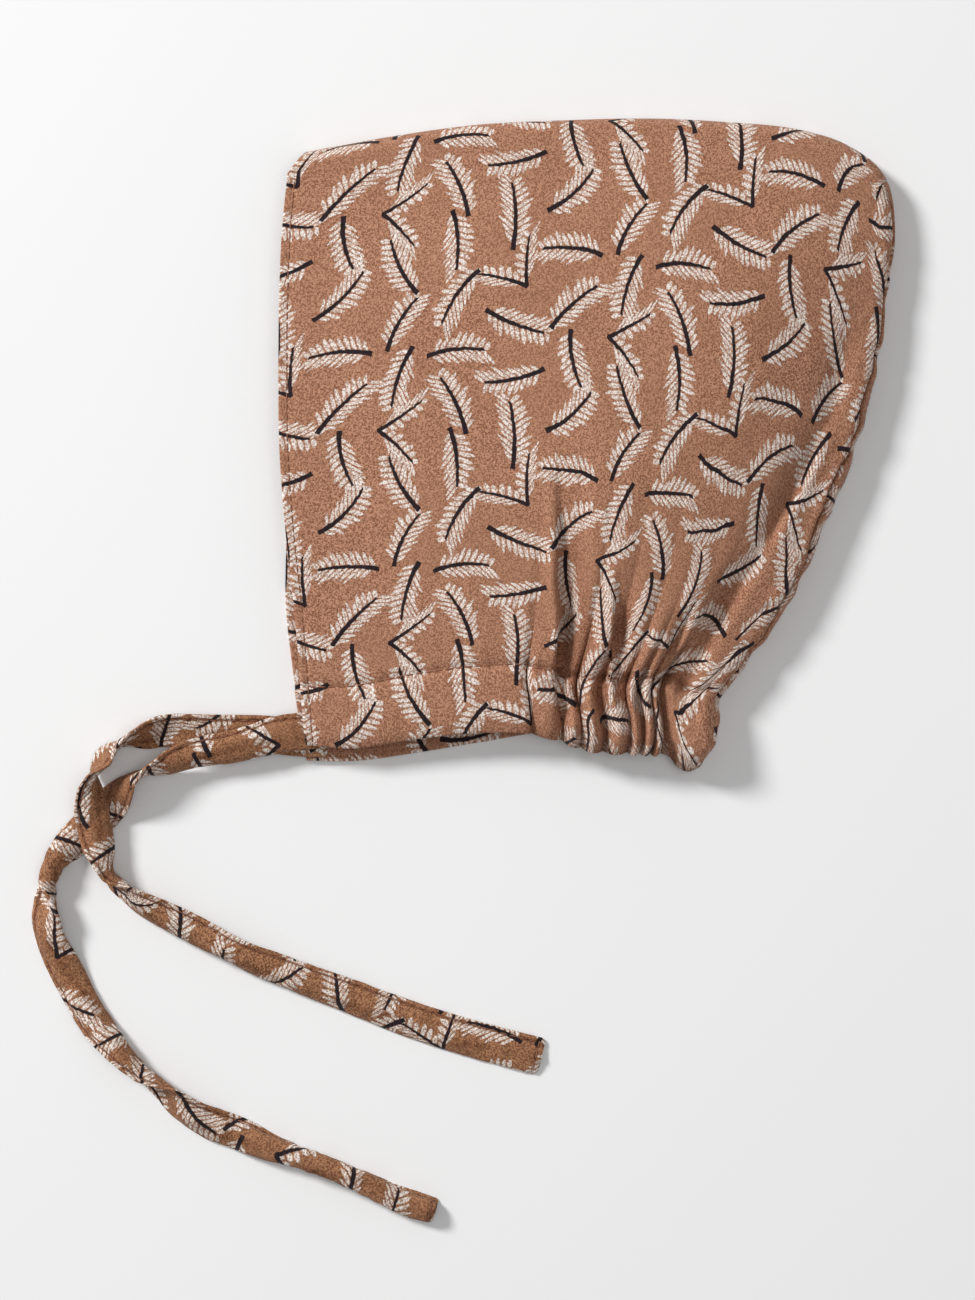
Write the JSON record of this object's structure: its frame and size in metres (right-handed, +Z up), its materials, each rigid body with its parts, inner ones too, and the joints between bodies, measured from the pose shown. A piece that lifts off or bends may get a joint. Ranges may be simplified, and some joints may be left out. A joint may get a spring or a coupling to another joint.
{
  "type": "baby's pixie bonnet with ties",
  "caption": "Baby's cotton bonnet with a fold over the top, a centre-back seam, a gathered neck casing and cloth ties, lying on its side.",
  "frame": {"origin": "on the surface that the bonnet lies on, under the middle of the outline of bonnet and ties", "axes": "+X from the face opening to the back of the head, +Y from the neck to the top of the head, +Z up"},
  "size_m": [0.2393, 0.3061, 0.0214],
  "materials": {
    "printed_cotton": "woven cotton, terracotta with a sprig print",
    "tie_cotton": "the same cotton, folded and stitched into a strap"
  },
  "bodies": {
    "root": {"crown": "printed_cotton", "tie_near": "tie_cotton", "tie_far": "tie_cotton"}
  },
  "joints": []
}
